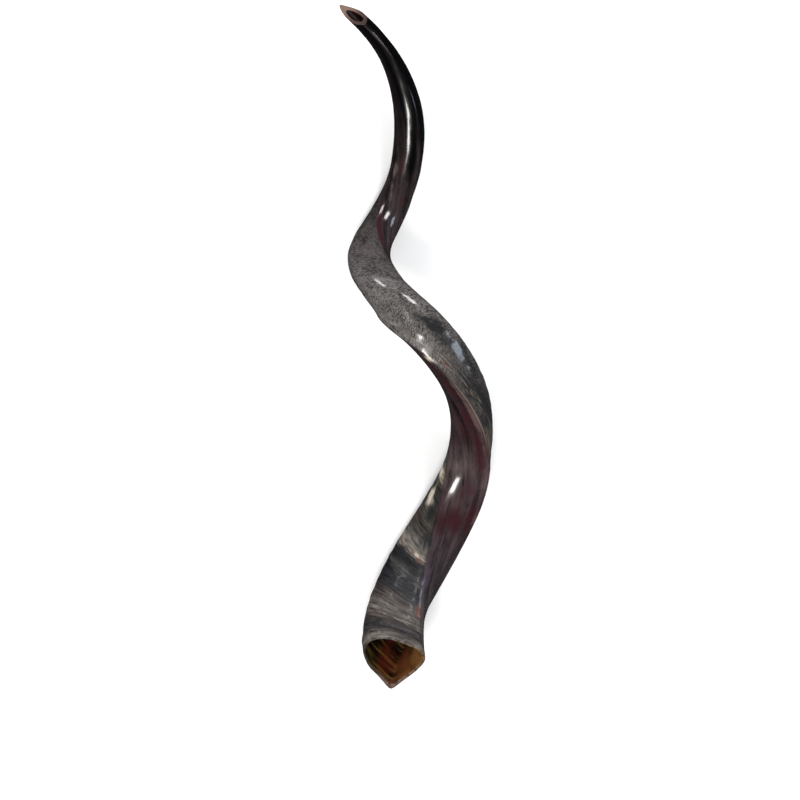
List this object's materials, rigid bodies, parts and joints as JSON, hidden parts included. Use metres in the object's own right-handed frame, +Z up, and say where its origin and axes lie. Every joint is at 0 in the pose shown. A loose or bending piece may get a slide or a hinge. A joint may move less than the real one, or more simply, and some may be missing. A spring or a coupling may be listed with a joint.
{
  "type": "kudu horn worked into a blown horn",
  "caption": "Long corkscrew antelope horn with a sharp winding keel, open at the bell and cut on a slant at the bored tip.",
  "frame": {"origin": "on the surface it rests on, under the middle of its outline", "axes": "+Z up, +Y along its greatest length towards the tip, +X to the right as seen from the bell"},
  "size_m": [0.1738, 0.7616, 0.1274],
  "materials": {
    "horn": "polished natural horn, dark grey-brown with longitudinal streaks and pale growth bands near the bell"
  },
  "bodies": {
    "root": {"horn": "horn"}
  },
  "joints": []
}
